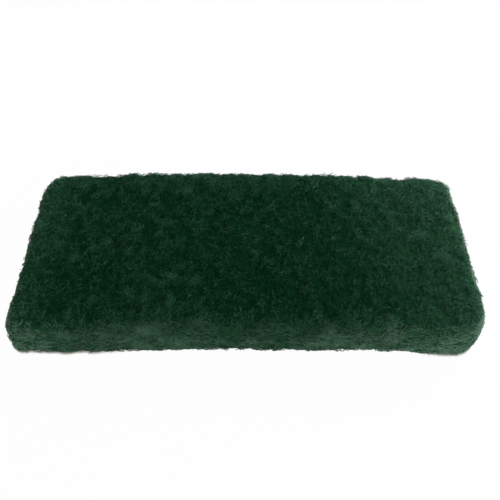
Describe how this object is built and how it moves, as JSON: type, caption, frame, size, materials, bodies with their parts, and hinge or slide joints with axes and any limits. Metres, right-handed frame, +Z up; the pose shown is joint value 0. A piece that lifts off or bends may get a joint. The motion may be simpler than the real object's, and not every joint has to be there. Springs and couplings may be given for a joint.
{
  "type": "nylon scouring pad",
  "caption": "Thick rectangular hand scouring pad of curly non-woven nylon web with rounded corners and soft edges, slightly arched from end to end.",
  "frame": {"origin": "centre of the pad's footprint, on the surface that it lies on", "axes": "+X along the pad's length, +Y across its width, from the front edge to the back, and +Z up through its thickness"},
  "size_m": [0.25, 0.115, 0.028],
  "materials": {
    "nylon_web": "matt, open web of curled strands, dark green"
  },
  "bodies": {
    "root": {"scouring_pad": "nylon_web"}
  },
  "joints": []
}
